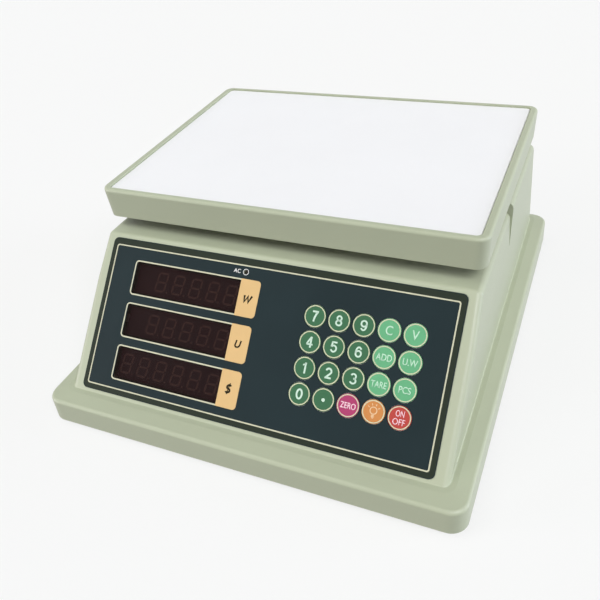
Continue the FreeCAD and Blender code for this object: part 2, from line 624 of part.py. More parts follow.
def cell_bolts():
    return [bolt(x, y, CHASSIS_Z, CELL_Z + BOLT_GRIP) for x, y in bolt_places(-1)]


def receiver_bolts():
    head, tip = SUPPORT_Z + SUPPORT_H, CELL_Z + CELL_H - BOLT_GRIP
    return [bolt(x, y, head, tip) for x, y in bolt_places(1)]


def chassis_plate():
    y_mid, depth = (CHASSIS_Y0 + CHASSIS_Y1) / 2, CHASSIS_Y1 - CHASSIS_Y0
    plate = slab(2 * CHASSIS_X, depth, 5, CHASSIS_Z, CHASSIS_Z + CHASSIS_T, 0, y_mid)
    holes = [post(x, y, 0, ABOVE_ALL, SHANK_R + 0.3) for x, y in CHASSIS_SCREWS]
    holes += [post(x, y, 0, ABOVE_ALL, BOLT_R + BOLT_FIT) for x, y in bolt_places(-1)]
    holes.append(post(0, STOP_Y, 0, ABOVE_ALL, STOP_R))
    return cut(plate, holes)


def overload_stop():
    """A stud standing under the load cell's free end, with its nut on the plate."""
    stud = post(0, STOP_Y, CHASSIS_Z - STOP_TAIL, CELL_Z - STOP_GAP, STOP_R)
    nut = Part.Face(Part.makePolygon(hexagon(NUT_R))).extrude(Vec(0, 0, NUT_H))
    nut.translate(Vec(0, STOP_Y, CHASSIS_Z + CHASSIS_T))
    return fuse([stud, nut])


def hexagon(radius):
    turns = [math.radians(60 * i) for i in range(7)]
    return [Vec(radius * math.cos(a), radius * math.sin(a), 0) for a in turns]


# ---- front panel -----------------------------------------------------------------------------
def front_overlay():
    n0, n1 = -OVERLAY_SUNK, OVERLAY_T - OVERLAY_SUNK
    sheet = slab(OVERLAY_W, OVERLAY_H, OVERLAY_R, n0, n1, 0, OVERLAY_H / 2)
    holes = window_openings(0, -1, 1)
    holes += [post(x, s, -1, 1, KEY_R + KEY_GAP) for _, x, s in key_places()]
    holes.append(post(LAMP_X, LAMP_S, -1, 1, LAMP_R + RUN_FIT))
    return on_panel(cut(sheet, holes))


def display_filters():
    back = -OVERLAY_SUNK - FILTER_T
    return [on_panel(w) for w in window_openings(FILTER_LAP, back, -OVERLAY_SUNK)]


def led_displays():
    half = DIGIT_H / 2
    blocks = []
    for digits, s in zip(FRONT_DIGITS, WINDOW_S):
        left = GLASS_X1 - digits * DIGIT_W
        blocks.append(on_panel(box(left, GLASS_X1, s - half, s + half, -LED_BACK, LED_T - LED_BACK)))
    return blocks


def power_lamp():
    stem = post(LAMP_X, LAMP_S, -LED_BACK, -LAMP_R, LAMP_R)
    lens = Part.makeSphere(LAMP_R, Vec(LAMP_X, LAMP_S, -LAMP_R))
    return on_panel(fuse([stem, lens]))


def keypad_circuit():
    sheet = keypad_slab(KEYPAD_FIT - 0.3, KEYPAD_FLOOR, KEYPAD_FLOOR + KEYPAD_T)
    top = KEYPAD_FLOOR + KEYPAD_T
    domes = [post(x, s, top - 0.1, top + DOME_H, DOME_R) for _, x, s in key_places()]
    return on_panel(fuse([sheet] + domes))


def key(x, s):
    disc = post(x, s, KEY_BOTTOM, KEY_TOP, KEY_R)
    rim = [e for e in disc.Edges if abs(e.CenterOfMass.z - KEY_TOP) < 0.001]
    return on_panel(disc.makeFillet(KEY_EDGE_R, rim))


def main_board():
    board = slab(MAIN_BOARD_W, MAIN_BOARD_H, 3, -LED_BACK - BOARD_T, -LED_BACK, 0, MAIN_BOARD_S)
    return on_panel(cut(board, [post(x, s, -INSIDE - LED_BACK, 0, PILOT_R) for x, s in BOARD_POSTS]))


def board_components():
    """Chips, sockets, a buzzer and capacitors on the boards, each a separate solid."""
    back = -LED_BACK - BOARD_T
    found = []
    for places, deep in ((CHIPS, CHIP_T), (SOCKETS, SOCKET_T)):
        for x, s, w, h in places:
            found.append(on_panel(box(x - w / 2, x + w / 2, s - h / 2, s + h / 2, back - deep, back)))
    x, s, r, deep = BUZZER
    found.append(on_panel(post(x, s, back - deep, back, r)))
    top = POWER_Z + BOARD_T
    found += [post(x, y, top, top + h, r) for x, y, r, h in CAPACITORS]
    x0, x1, y0, y1, tall = HEATSINK
    found.append(box(x0, x1, y0, y1, top, top + tall))
    return found


# ---- rear display ----------------------------------------------------------------------------
def rear_overlay():
    n0, n1 = -OVERLAY_SUNK, OVERLAY_T - OVERLAY_SUNK
    sheet = slab(REAR_OVERLAY_W, REAR_OVERLAY_H, OVERLAY_R, n0, n1)
    return on_rear(cut(sheet, rear_windows(0, -1, 1)))


def rear_filters():
    back = -OVERLAY_SUNK - FILTER_T
    return [on_rear(w) for w in rear_windows(FILTER_LAP, back, -OVERLAY_SUNK)]


def rear_led_displays():
    blocks = []
    for digits, window in zip(REAR_DIGITS, rear_windows(0, 0, 1)):
        cx = window.BoundBox.Center.x
        half = digits * DIGIT_W / 2
        low, high = REAR_WINDOW_S - DIGIT_H / 2, REAR_WINDOW_S + DIGIT_H / 2
        blocks.append(on_rear(box(cx - half, cx + half, low, high, -LED_BACK, LED_T - LED_BACK)))
    return blocks


def rear_board():
    board = slab(REAR_BOARD_W, REAR_BOARD_H, 3, -LED_BACK - BOARD_T, -LED_BACK, 0, REAR_BOARD_S)
    return on_rear(cut(board, [post(x, s, -INSIDE - LED_BACK, 0, PILOT_R) for x, s in REAR_POSTS]))


# ---- power -----------------------------------------------------------------------------------
def transformer_core():
    x, y = TRANSFORMER_X, TRANSFORMER_Y
    z0, z1 = FLOOR_TOP, FLOOR_TOP + CORE_H
    block = box(x - CORE_W / 2, x + CORE_W / 2, y - CORE_T / 2, y + CORE_T / 2, z0, z1)
    holes = []
    for inner, outer in ((-2 * LIMB, -LIMB), (LIMB, 2 * LIMB)):
        holes.append(box(x + inner, x + outer, y - CORE_T, y + CORE_T, z0 + LIMB, z1 - LIMB))
    return cut(block, holes)


def transformer_coil():
    x, y = TRANSFORMER_X, TRANSFORMER_Y
    z0 = FLOOR_TOP + LIMB + COIL_FIT
    z1 = FLOOR_TOP + CORE_H - LIMB - COIL_FIT
    half, deep = 2 * LIMB - COIL_FIT, CORE_T / 2 + COIL_OUT
    coil = box(x - half, x + half, y - deep, y + deep, z0, z1)
    bore_x, bore_y = LIMB + COIL_FIT / 2, (CORE_T + COIL_FIT) / 2
    return cut(coil, [box(x - bore_x, x + bore_x, y - bore_y, y + bore_y, z0 - 1, z1 + 1)])


def power_board():
    board = slab(POWER_W, POWER_D, 2, POWER_Z, POWER_Z + BOARD_T, POWER_X, POWER_Y)
    return cut(board, [post(x, y, 0, ABOVE_ALL, PILOT_R) for x, y in POWER_SCREWS])


def battery():
    z0 = FLOOR_Z + COVER_T + 0.1
    pieces = [slab(BATTERY_W, BATTERY_D, 1.5, z0, z0 + BATTERY_H, BATTERY_X, BATTERY_Y)]
    front, half = BATTERY_Y - BATTERY_D / 2, TAB_W / 2
    for x in (BATTERY_X - TAB_X, BATTERY_X + TAB_X):
        pieces.append(box(x - half, x + half, front - TAB_L, front + 1, z0 + TAB_Z, z0 + TAB_Z + TAB_T))
    return fuse(pieces)


def oval_prism(w, h, x0, x1):
    """A stadium-shaped prism along X, centred on the mains inlet."""
    prism = slab(w, h, h / 2 - 0.01, 0, x1 - x0)
    turn = FreeCAD.Rotation(Vec(0, 1, 0), 90).multiply(FreeCAD.Rotation(UP, 90))
    return placed(prism, FreeCAD.Placement(Vec(x0, INLET_Y, INLET_Z), turn))


def mains_inlet():
    wall = -HOUSE_HALF
    face = wall - FLANGE_T
    half_w, half_h = INLET_W / 2 - INLET_FIT, INLET_H / 2 - INLET_FIT
    body = box(wall, wall + INLET_DEEP, INLET_Y - half_w, INLET_Y + half_w,
               INLET_Z - half_h, INLET_Z + half_h)
    half_w, half_h = INLET_W / 2 + FLANGE_LAP, INLET_H / 2 + FLANGE_LAP
    flange = box(face, wall, INLET_Y - half_w, INLET_Y + half_w, INLET_Z - half_h, INLET_Z + half_h)
    edges = [e for e in flange.Edges if abs(e.Vertexes[0].X - e.Vertexes[-1].X) > 1]
    flange = flange.makeFillet(FLANGE_R, edges)
    body = cut(fuse([body, flange]), [oval_prism(CAVITY_W, CAVITY_H, face - 1, face + CAVITY_DEEP)])
    pins = []
    for side in (-1, 1):
        root = Vec(face + CAVITY_DEEP + 1, INLET_Y + side * PIN_PITCH / 2, INLET_Z)
        pins.append(Part.makeCylinder(PIN_R, PIN_L + 1, root, Vec(-1, 0, 0)))
    return fuse([body] + pins)


def screw(x, y, z_seat, z_tip, head_r, head_h, shank_r):
    """A screw whose head, with a cross recess, bears at z_seat."""
    outward = head_h if z_tip < z_seat else -head_h
    top = z_seat + outward
    head = post(x, y, min(z_seat, top), max(z_seat, top), head_r)
    bottom = top - math.copysign(RECESS_DEEP, outward)
    z0, z1 = min(top, bottom), max(top, bottom)
    long, short = RECESS_L / 2, RECESS_W / 2
    cross = [box(x - long, x + long, y - short, y + short, z0, z1),
             box(x - short, x + short, y - long, y + long, z0, z1)]
    shank = post(x, y, min(z_seat, z_tip), max(z_seat, z_tip), shank_r)
    return fuse([cut(head, cross), shank])


def screws():
    """Every small screw of the casing, chassis and boards."""
    found = []
    for x, y in case_screw_places():
        tip = SCREW_SEAT_Z + SCREW_L
        found.append(screw(x, y, SCREW_SEAT_Z, tip, SCREW_HEAD_R, SCREW_HEAD_H, SHANK_R))
    for places, seat in ((CHASSIS_SCREWS, CHASSIS_Z + CHASSIS_T), (POWER_SCREWS, POWER_Z + BOARD_T)):
        for x, y in places:
            found.append(screw(x, y, seat, FLOOR_TOP + 0.5, PLATE_HEAD_R, PLATE_HEAD_H, SHANK_R))
    seat = -LED_BACK - BOARD_T
    for places, frame in ((BOARD_POSTS, on_panel), (REAR_POSTS, on_rear)):
        for x, s in places:
            tip = -POST_BORE_END - 0.5
            found.append(frame(screw(x, s, seat, tip, SMALL_HEAD_R, SMALL_HEAD_H, SMALL_SHANK_R)))
    return found


def cable(points, radius):
    """A round cable of straight runs joined by tangent arcs, as large as the runs allow."""
    route = [Vec(*p) for p in points]
    edges = []
    start = route[0]
    for i in range(1, len(route) - 1):
        before, after = route[i - 1] - route[i], route[i + 1] - route[i]
        reach = 0.45 * min(before.Length, after.Length)
        before.normalize()
        after.normalize()
        first, last = route[i] + before * reach, route[i] + after * reach
        half = before.getAngle(after) / 2
        bend = reach * math.tan(half)
        bisector = before + after
        bisector.normalize()
        middle = route[i] + bisector * (bend / math.sin(half) - bend)
        edges.append(Part.LineSegment(start, first).toShape())
        edges.append(Part.Arc(first, middle, last).toShape())
        start = last
    edges.append(Part.LineSegment(start, route[-1]).toShape())
    path = Part.Wire(edges)
    ring = Part.Wire([Part.Circle(route[0], route[1] - route[0], radius).toShape()])
    return path.makePipeShell([ring], True, True)


def inner_cables():
    """Leads held inside the casing: load cell, battery, mains, low voltage and rear display."""
    return [cable(points, radius) for points, radius in CABLES]


# ---- feet --------------------------------------------------------------------------------------
def foot_sole(x, y):
    disc = post(x, y, 0, SOLE_H, SOLE_R)
    rim = [e for e in disc.Edges if abs(e.CenterOfMass.z) < 0.01]
    disc = disc.makeFillet(SOLE_EDGE_R, rim)
    dish = post(x, y, -1, SOLE_DISH, SOLE_DISH_R)
    return cut(disc, [dish, post(x, y, STUD_HEAD_Z, SOLE_H + 1, STUD_HEAD_R + RUN_FIT)])


def foot_stud(x, y):
    head = post(x, y, STUD_HEAD_Z, SOLE_H, STUD_HEAD_R)
    return fuse([head, post(x, y, SOLE_H, STUD_TOP, STUD_R)])


def main():
    os.makedirs("parts", exist_ok=True)
    single = (
        upper_case, lower_case, battery_cover, platform_cover, weighing_plate, pan_support, support_pads,
        receiver_post, load_cell, cell_pedestal, cell_bolts, receiver_bolts, chassis_plate,
        overload_stop, front_overlay, display_filters, led_displays, power_lamp, keypad_circuit,
        main_board, board_components, rear_overlay, rear_filters, rear_led_displays, rear_board,
        transformer_core, transformer_coil, power_board, battery, mains_inlet, screws, inner_cables,
    )
    for make in single:
        export(make.__name__, make())
    for name, x, s in key_places():
        export("key_" + name, key(x, s))
    for corner, (x, y) in FEET.items():
        export("foot_sole_" + corner, foot_sole(x, y))
        export("foot_stud_" + corner, foot_stud(x, y))


main()
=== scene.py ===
import json
import math

import bmesh
import bpy
from mathutils import Matrix, Vector


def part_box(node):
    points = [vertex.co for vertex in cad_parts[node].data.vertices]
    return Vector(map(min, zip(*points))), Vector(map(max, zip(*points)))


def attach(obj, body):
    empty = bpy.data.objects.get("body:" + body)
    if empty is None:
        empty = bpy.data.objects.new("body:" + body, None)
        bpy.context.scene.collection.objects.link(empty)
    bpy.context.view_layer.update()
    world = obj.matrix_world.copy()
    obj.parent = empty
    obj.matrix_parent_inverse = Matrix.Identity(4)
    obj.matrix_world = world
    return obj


# A price-computing counting scale: materials, printed graphics and fittings around the CAD frame.
# Everything is in metres, +X to the user's right, +Y to the back, +Z up.

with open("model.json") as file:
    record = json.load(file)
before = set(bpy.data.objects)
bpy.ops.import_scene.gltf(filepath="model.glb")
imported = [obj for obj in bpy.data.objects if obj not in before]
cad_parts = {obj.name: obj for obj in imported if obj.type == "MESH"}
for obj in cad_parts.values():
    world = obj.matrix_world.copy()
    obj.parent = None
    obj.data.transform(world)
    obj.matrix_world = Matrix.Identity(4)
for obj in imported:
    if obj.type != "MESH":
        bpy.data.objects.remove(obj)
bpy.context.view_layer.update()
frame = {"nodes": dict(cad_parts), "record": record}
nodes = frame["nodes"]
MM = 0.001

# ---- camera and stage ------------------------------------------------------------------------
CAMERA_AT = (0.16809, -0.3626, 0.32505)
CAMERA_AZIMUTH, CAMERA_ELEVATION, CAMERA_ROLL = 27.5245, 37.3558, -7.1006
CAMERA_LENS, SENSOR_W = 40.412, 36
CAMERA_NEAR = 0.01
SKY_COLOUR, SKY_LIGHT = (1.0, 1.0, 1.0, 1), 0.128
GLOW_COLOUR, STAGE_GLOW = (0.995, 1.0, 0.985, 1), 0.728
STAGE_TINT, STAGE_MOTTLE, STAGE_ROUGH = (0.2000, 0.2016, 0.2016), 0.01, 0.9
STAGE_R, COVE_R, STAGE_H = 6.0, 2.5, 7.0
STAGE_SIDES = 128
COVE_START = -85          # degrees: the cove leaves the floor at a slight angle
LAMP_SPREAD = 30.0        # how wide each distant lamp looks, in degrees
LAMPS = (                 # name, direction to the right of the front, elevation, strength, colour
    ("main_lamp", 50, 47, 2.60, (0.985, 0.98, 1.04)),
    ("right_lamp", 110, 8, 1.78, (0.92, 0.95, 1.13)),
    ("left_lamp", -60, 8, 1.72, (1.03, 0.96, 1.02)),
    ("top_lamp", -60, 60, 0.64, (1.0, 1.02, 0.95)),
)


def from_direction(azimuth, elevation):
    """A unit vector towards a place at that azimuth to the right of the front, above the floor."""
    az, el = math.radians(azimuth), math.radians(elevation)
    return Vector((math.sin(az) * math.cos(el), -math.cos(az) * math.cos(el), math.sin(el)))


def add_camera():
    az, roll = math.radians(CAMERA_AZIMUTH), math.radians(CAMERA_ROLL)
    back = from_direction(CAMERA_AZIMUTH, CAMERA_ELEVATION)
    level = Vector((math.cos(az), math.sin(az), 0))
    upright = back.cross(level)
    right = math.cos(roll) * level + math.sin(roll) * upright
    up = math.cos(roll) * upright - math.sin(roll) * level
    data = bpy.data.cameras.new("camera")
    data.lens = CAMERA_LENS
    data.sensor_width = SENSOR_W
    data.clip_start = CAMERA_NEAR
    camera = bpy.data.objects.new("camera", data)
    bpy.context.scene.collection.objects.link(camera)
    turn = Matrix((right, up, back)).transposed().to_4x4()
    camera.matrix_world = Matrix.Translation(CAMERA_AT) @ turn
    bpy.context.scene.camera = camera


def soft_light(name, azimuth, elevation, strength, colour):
    """A large distant lamp, which lights the whole floor evenly."""
    data = bpy.data.lights.new(name, "SUN")
    data.energy = strength
    data.color = colour
    data.angle = math.radians(LAMP_SPREAD)
    light = bpy.data.objects.new(name, data)
    bpy.context.scene.collection.objects.link(light)
    light.rotation_euler = from_direction(azimuth, elevation).to_track_quat("Z", "Y").to_euler()


def stage_material():
    """Pale paper that glows a little, so that shadows on it stay faint."""
    mat, tree, shader = principled("pale_stage")
    drift = spread(tree, noise(tree, scale=3), 0, 1)
    light = [c * (1 + STAGE_MOTTLE) for c in STAGE_TINT]
    tree.links.new(tint(tree, drift, STAGE_TINT, light), shader.inputs["Base Color"])
    shader.inputs["Roughness"].default_value = STAGE_ROUGH
    shader.inputs["Specular IOR Level"].default_value = 0.0
    shader.inputs["Emission Color"].default_value = GLOW_COLOUR
    shader.inputs["Emission Strength"].default_value = STAGE_GLOW
    return mat


def backdrop(mesh):
    """A round floor that curves up into a wall."""
    flat = STAGE_R - COVE_R
    cove = arc(0, 0, COVE_R, COVE_R, COVE_START, 0)
    outline = [(flat, 0)] + [(flat + x, COVE_R + z) for x, z in cove] + [(STAGE_R, STAGE_H)]
    bm = bmesh.new()
    rings = []
    for radius, z in outline:
        rings.append([bm.verts.new((x, y, z)) for x, y in circle(radius, sides=STAGE_SIDES)])
    bm.faces.new(rings[0])
    for low, high in zip(rings, rings[1:]):
        for i in range(len(low)):
            k = (i + 1) % len(low)
            bm.faces.new((low[k], low[i], high[i], high[k]))
    for face in bm.faces:
        face.smooth = True
    bm.to_mesh(mesh)
    bm.free()


def add_stage():
    world = bpy.data.worlds.new("studio")
    world.use_nodes = True
    background = world.node_tree.nodes["Background"]
    background.inputs["Color"].default_value = SKY_COLOUR
    background.inputs["Strength"].default_value = SKY_LIGHT
    bpy.context.scene.world = world
    for lamp in LAMPS:
        soft_light(*lamp)
    mesh = bpy.data.meshes.new("floor_and_backdrop")
    backdrop(mesh)
    mesh.materials.append(stage_material())
    floor = bpy.data.objects.new("floor_and_backdrop", mesh)
    bpy.context.scene.collection.objects.link(floor)
    floor.visible_diffuse = False
    floor.visible_shadow = False
    bpy.context.scene.view_settings.view_transform = "Standard"


# ---- materials -------------------------------------------------------------------------------
NOISE_LOW, NOISE_HIGH = 0.3, 0.7  # where most of a noise field lies
ROUGH_DRIFT = 0.05                # change of roughness either way
GRAIN_DEPTH = 0.25                # height of a grain's bumps, as a share of its size
FILTER_DARK, FILTER_LIGHT = (0.012, 0.004, 0.004), (0.016, 0.005, 0.005)
FILTER_ROUGH, FILTER_ALPHA, FILTER_SHEEN = (0.16, 0.22), 0.5, 0.12


def principled(name):
    mat = bpy.data.materials.new(name)
    mat.use_nodes = True
    return mat, mat.node_tree, mat.node_tree.nodes["Principled BSDF"]


def noise(tree, scale, detail=3.0, stretch=(1, 1, 1)):
    """Noise over the object's own coordinates, with features about 1/scale metres across."""
    where = tree.nodes.new("ShaderNodeTexCoord")
    mapping = tree.nodes.new("ShaderNodeMapping")
    mapping.inputs["Scale"].default_value = stretch
    tree.links.new(where.outputs["Object"], mapping.inputs["Vector"])
    field = tree.nodes.new("ShaderNodeTexNoise")
    field.inputs["Scale"].default_value = scale
    field.inputs["Detail"].default_value = detail
    tree.links.new(mapping.outputs["Vector"], field.inputs["Vector"])
    return field.outputs["Fac"]


def spread(tree, value, low, high):
    """Maps the middle of a noise field to the range low to high."""
    ramp = tree.nodes.new("ShaderNodeMapRange")
    ramp.inputs["From Min"].default_value = NOISE_LOW
    ramp.inputs["From Max"].default_value = NOISE_HIGH
    ramp.inputs["To Min"].default_value = low
    ramp.inputs["To Max"].default_value = high
    tree.links.new(value, ramp.inputs["Value"])
    return ramp.outputs["Result"]


def tint(tree, value, dark, light):
    mix = tree.nodes.new("ShaderNodeMix")
    mix.data_type = "RGBA"
    mix.inputs["A"].default_value = (*dark, 1)
    mix.inputs["B"].default_value = (*light, 1)
    tree.links.new(value, mix.inputs["Factor"])
    return mix.outputs["Result"]


def bumped(tree, shader, value, strength, depth):
    bump = tree.nodes.new("ShaderNodeBump")
    bump.inputs["Strength"].default_value = strength
    bump.inputs["Distance"].default_value = depth
    tree.links.new(value, bump.inputs["Height"])
    tree.links.new(bump.outputs["Normal"], shader.inputs["Normal"])


def surface(name, colour, rough, grain, bump, mottle, mottle_size=0.05, metallic=0.0,
            stretch=(1, 1, 1), sheen=0.5):
    """A surface with a fine grain of that size in metres, and a faint drift of colour and gloss."""
    mat, tree, shader = principled(name)
    drift = spread(tree, noise(tree, 1 / mottle_size), 0, 1)
    dark = [c * (1 - mottle) for c in colour]
    light = [min(c * (1 + mottle), 1) for c in colour]
    tree.links.new(tint(tree, drift, dark, light), shader.inputs["Base Color"])
    fine = noise(tree, 1 / grain, detail=2.0, stretch=stretch)
    gloss = spread(tree, fine, rough - ROUGH_DRIFT, rough + ROUGH_DRIFT)
    tree.links.new(gloss, shader.inputs["Roughness"])
    bumped(tree, shader, fine, bump, grain * GRAIN_DEPTH)
    shader.inputs["Metallic"].default_value = metallic
    shader.inputs["Specular IOR Level"].default_value = sheen
    return mat


def plastic(name, colour, rough, grain=0.0007, bump=0.12, mottle=0.015, sheen=0.5):
    return surface(name, colour, rough, grain, bump, mottle, sheen=sheen)


def metal(name, colour, rough, stretch=(1, 1, 1)):
    """Bare metal. A larger stretch along an axis makes its grain finer that way."""
    return surface(name, colour, rough, grain=0.0005, bump=0.15, mottle=0.05, metallic=1.0,
                   stretch=stretch)


def smoked_red(name):
    """Dark red acrylic: the digits behind it only just show."""
    mat, tree, shader = principled(name)
    drift = spread(tree, noise(tree, scale=60), 0, 1)
    tree.links.new(tint(tree, drift, FILTER_DARK, FILTER_LIGHT), shader.inputs["Base Color"])
    gloss = spread(tree, noise(tree, scale=900), *FILTER_ROUGH)
    tree.links.new(gloss, shader.inputs["Roughness"])
    shader.inputs["Specular IOR Level"].default_value = FILTER_SHEEN
    shader.inputs["Alpha"].default_value = FILTER_ALPHA
    return mat


def ink(name, colour, sheen=0.3):
    return surface(name, colour, rough=0.42, grain=0.0004, bump=0.05, mottle=0.02,
                   mottle_size=0.01, sheen=sheen)


SAGE = (0.405, 0.445, 0.310)
SAGE_BASE = [c * 0.92 for c in SAGE]
MATERIALS = {
    "casing": lambda n: plastic(n, SAGE, 0.42),
    "base_plastic": lambda n: plastic(n, SAGE_BASE, 0.5, grain=0.0010, bump=0.2),
    "plate_metal": lambda n: surface(n, (0.845, 0.855, 0.840), 0.48, 0.0009, 0.05, 0.008,
                                     sheen=0.3),
    "aluminium": lambda n: metal(n, (0.47, 0.475, 0.49), 0.48),
    "steel": lambda n: metal(n, (0.56, 0.57, 0.58), 0.34, stretch=(1, 1, 8)),
    "rubber": lambda n: plastic(n, (0.025, 0.025, 0.026), 0.75, grain=0.0005, bump=0.3,
                                mottle=0.1),
    "overlay": lambda n: plastic(n, (0.0130, 0.0245, 0.0270), 0.40, grain=0.0003, bump=0.08,
                                 mottle=0.08, sheen=0.12),
    "filter": smoked_red,
    "led": lambda n: plastic(n, (0.030, 0.018, 0.018), 0.5, mottle=0.05),
    "lamp": lambda n: plastic(n, (0.018, 0.014, 0.009), 0.3, bump=0.0, mottle=0.05, sheen=0.2),
    "circuit": lambda n: plastic(n, (0.62, 0.60, 0.52), 0.35, mottle=0.05),
    "board": lambda n: plastic(n, (0.015, 0.11, 0.04), 0.35, mottle=0.15),
    "component": lambda n: plastic(n, (0.025, 0.025, 0.027), 0.45, mottle=0.1),
    "copper": lambda n: metal(n, (0.62, 0.28, 0.13), 0.35, stretch=(12, 1, 12)),
    "iron": lambda n: metal(n, (0.16, 0.16, 0.17), 0.5, stretch=(1, 20, 1)),
    "battery": lambda n: plastic(n, (0.045, 0.046, 0.050), 0.5, mottle=0.06),
    "inlet": lambda n: plastic(n, (0.020, 0.020, 0.021), 0.38, mottle=0.06),
    "cable": lambda n: plastic(n, (0.040, 0.040, 0.042), 0.45, mottle=0.08),
    "key_number": lambda n: ink(n, (0.035, 0.128, 0.056)),
    "key_function": lambda n: ink(n, (0.116, 0.384, 0.183)),
    "key_zero": lambda n: ink(n, (0.366, 0.040, 0.126)),
    "key_light": lambda n: ink(n, (0.55, 0.222, 0.058)),
    "key_power": lambda n: ink(n, (0.425, 0.050, 0.038)),
}


def slot_of(node):
    return next(p["material_slot"] for p in frame["record"]["subparts"] if p["node"] == node)


def dress_cad():
    """Each CAD node gets the material that its slot names."""
    made = {slot: make(slot) for slot, make in MATERIALS.items()}
    for part in frame["record"]["subparts"]:
        slots = nodes[part["node"]].data.materials
        slots.clear()
        slots.append(made[part["material_slot"]])


# ---- geometry helpers ------------------------------------------------------------------------
def panel_matrix(node, tilt, facing_back=False):
    """The plane of an overlay sheet: x across it, y up its slope, z out of its face."""
    low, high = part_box(node)
    turn = Matrix.Rotation(math.radians(tilt), 4, "X")
    if facing_back:
        turn = Matrix.Rotation(math.pi, 4, "Z") @ turn
    return Matrix.Translation((low + high) / 2) @ turn


PANEL_TILT, REAR_TILT = 46.05, 65.9
OVERLAY_W, OVERLAY_H, OVERLAY_R = 235.3 * MM, 101.6 * MM, 3.5 * MM
OVERLAY_TOP = 0.3 * MM    # its face, above the plane through its middle
REAR_OVERLAY_W, REAR_OVERLAY_H = 232.0 * MM, 46.0 * MM
PRINT_T = 0.04 * MM
PRINT_STEP = 0.01 * MM    # between one ink and another printed over it
PRINT_SUNK = 0.02 * MM    # ink that is thinner than the rest, or reaches below a key's face
SQUARE_R = 0.02 * MM      # radius of a corner that looks square
MITRE_LIMIT = 0.6         # keeps a line from growing long points where it turns
SAME_SPOT = 1e-7
FRONT = panel_matrix("front_overlay", PANEL_TILT)
REAR = panel_matrix("rear_overlay", REAR_TILT, facing_back=True)


def link(name, bm, material, body, place):
    """A finished piece from a bmesh drawn in a panel's own axes."""
    mesh = bpy.data.meshes.new(name)
    bmesh.ops.recalc_face_normals(bm, faces=bm.faces)
    bm.to_mesh(mesh)
    bm.free()
    mesh.transform(place)
    mesh.materials.append(material)
    piece = bpy.data.objects.new(name, mesh)
    bpy.context.scene.collection.objects.link(piece)
    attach(piece, body)


def circle(radius, cx=0.0, cy=0.0, sides=48):
    turns = [2 * math.pi * i / sides for i in range(sides)]
    return [(cx + radius * math.cos(a), cy + radius * math.sin(a)) for a in turns]


def arc(cx, cy, rx, ry, start, end, steps=16):
    """Points along an ellipse, between two angles in degrees."""
    turns = [math.radians(start + (end - start) * i / steps) for i in range(steps + 1)]
    return [(cx + rx * math.cos(a), cy + ry * math.sin(a)) for a in turns]


def oval(cx, cy, rx, ry, sides=16):
    return arc(cx, cy, rx, ry, 0, 360, sides)[:-1]


def rounded_loop(w, h, r, cx=0.0, cy=0.0, steps=8, corners=(1, 1, 1, 1)):
    """Points round a rounded rectangle, anticlockwise from the lower right corner."""
    points = []
    for i, (sx, sy) in enumerate(((1, -1), (1, 1), (-1, 1), (-1, -1))):
        radius = r if corners[i] else SQUARE_R
        ox, oy = cx + sx * (w / 2 - radius), cy + sy * (h / 2 - radius)
        for step in range(steps + 1):
            angle = math.radians(-90 + 90 * i + 90 * step / steps)
            points.append((ox + radius * math.cos(angle), oy + radius * math.sin(angle)))
    return points


def join_rings(bm, rings, i, k):
    """The four faces between places i and k of four rings that run side by side."""
    for a in range(4):
        b = (a + 1) % 4
        bm.faces.new((rings[a][i], rings[a][k], rings[b][k], rings[b][i]))


def add_prism(bm, outline, z0, z1):
    low = [bm.verts.new((x, y, z0)) for x, y in outline]
    high = [bm.verts.new((x, y, z1)) for x, y in outline]
    bm.faces.new(low[::-1])
    bm.faces.new(high)
    for i in range(len(outline)):
        k = (i + 1) % len(outline)
        bm.faces.new((low[i], low[k], high[k], high[i]))


def add_rings(bm, left, right, z0, z1):
    """Four rings of points: both sides of a line, at two heights."""
    rings = []
    for side, z in ((left, z0), (left, z1), (right, z1), (right, z0)):
        rings.append([bm.verts.new((x, y, z)) for x, y in side])
    return rings


def add_band(bm, outer, inner, z0, z1):
    """A closed band between two loops of the same number of points."""
    rings = add_rings(bm, outer, inner, z0, z1)
    for i in range(len(outer)):
        join_rings(bm, rings, i, (i + 1) % len(outer))


def stroke_sides(points, half, closed):
    """The two edges of a line of that half width along the points."""
    spots = [Vector(p) for p in points]
    left, right = [], []
    for i, spot in enumerate(spots):
        runs = []
        if closed or i > 0:
            runs.append((spot - spots[i - 1]).normalized())
        if closed or i < len(spots) - 1:
            runs.append((spots[(i + 1) % len(spots)] - spot).normalized())
        middle = sum(runs, Vector((0, 0))).normalized()
        reach = half / max(middle.dot(runs[0]), MITRE_LIMIT)
        across = Vector((-middle.y, middle.x)) * reach
        left.append(spot + across)
        right.append(spot - across)
    return left, right


def add_stroke(bm, points, half, z0, z1, closed):
    """A thin solid line of constant width."""
    left, right = stroke_sides(points, half, closed)
    rings = add_rings(bm, left, right, z0, z1)
    count = len(points)
    for i in range(count if closed else count - 1):
        join_rings(bm, rings, i, (i + 1) % count)
    if not closed:
        bm.faces.new([ring[0] for ring in rings])
        bm.faces.new([ring[-1] for ring in rings][::-1])


